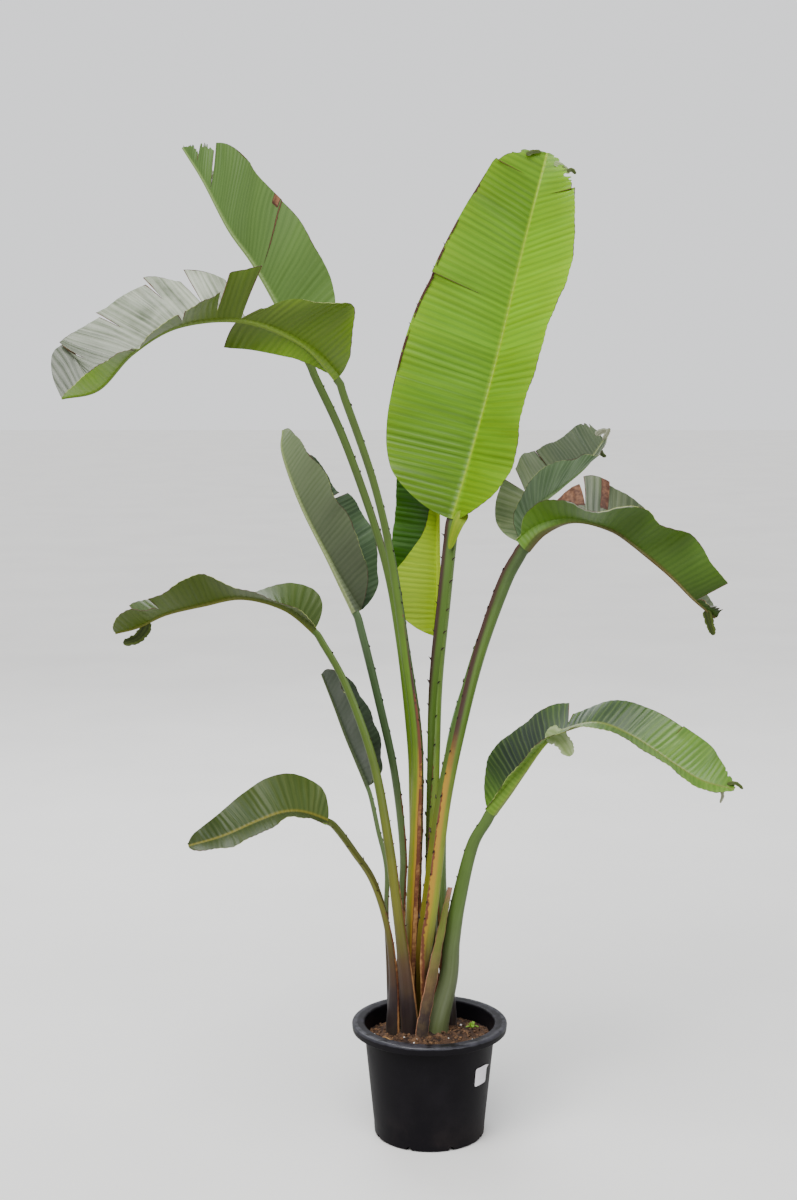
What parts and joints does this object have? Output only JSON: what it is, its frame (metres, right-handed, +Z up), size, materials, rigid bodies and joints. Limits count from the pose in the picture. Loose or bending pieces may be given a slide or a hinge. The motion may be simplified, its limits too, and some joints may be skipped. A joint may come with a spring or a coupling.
{
  "type": "potted plant",
  "caption": "Tall potted bird of paradise: a round black nursery pot of compost with a clump of long channelled stalks and broad folded, torn leaf blades.",
  "frame": {"origin": "middle of the underside of the pot, on the floor", "axes": "+Z up along the pot's axis; the front, from which the picture was taken, looks along -Y; +X to the right of someone facing the plant"},
  "size_m": [1.1477, 0.5758, 1.7854],
  "materials": {
    "pot": "satin black moulded plastic, lightly scuffed",
    "soil": "crumbly brown potting compost",
    "label": "blank matt paper",
    "dry_sheath": "dry brown leaf base",
    "leaf_stalk": "smooth waxy green, brown at the foot",
    "leaf_a": "waxy leaf with parallel veins and dry torn edges",
    "leaf_b": "waxy leaf with parallel veins and dry torn edges",
    "leaf_c": "waxy leaf with parallel veins and dry torn edges",
    "leaf_d": "waxy leaf with parallel veins and dry torn edges",
    "leaf_e": "waxy leaf with parallel veins and dry torn edges",
    "leaf_f": "waxy leaf with parallel veins and dry torn edges",
    "leaf_g": "waxy leaf with parallel veins and dry torn edges",
    "leaf_h": "waxy leaf with parallel veins and dry torn edges",
    "leaf_i": "waxy leaf with parallel veins and dry torn edges",
    "leaf_j": "waxy leaf with parallel veins and dry torn edges",
    "leaf_k": "waxy leaf with parallel veins and dry torn edges"
  },
  "bodies": {
    "root": {"pot": "pot", "soil": "soil", "label": "label", "old_sheath": "dry_sheath", "leaf_a_stalk": "leaf_stalk", "leaf_a_blade": "leaf_a", "leaf_b_stalk": "leaf_stalk", "leaf_b_blade": "leaf_b", "leaf_c_stalk": "leaf_stalk", "leaf_c_blade": "leaf_c", "leaf_d_stalk": "leaf_stalk", "leaf_d_blade": "leaf_d", "leaf_e_stalk": "leaf_stalk", "leaf_e_blade": "leaf_e", "leaf_f_stalk": "leaf_stalk", "leaf_f_blade": "leaf_f", "leaf_g_stalk": "leaf_stalk", "leaf_g_blade": "leaf_g", "leaf_h_stalk": "leaf_stalk", "leaf_h_blade": "leaf_h", "leaf_i_stalk": "leaf_stalk", "leaf_i_blade": "leaf_i", "leaf_j_stalk": "leaf_stalk", "leaf_j_blade": "leaf_j", "leaf_k_stalk": "leaf_stalk", "leaf_k_blade": "leaf_k"}
  },
  "joints": []
}
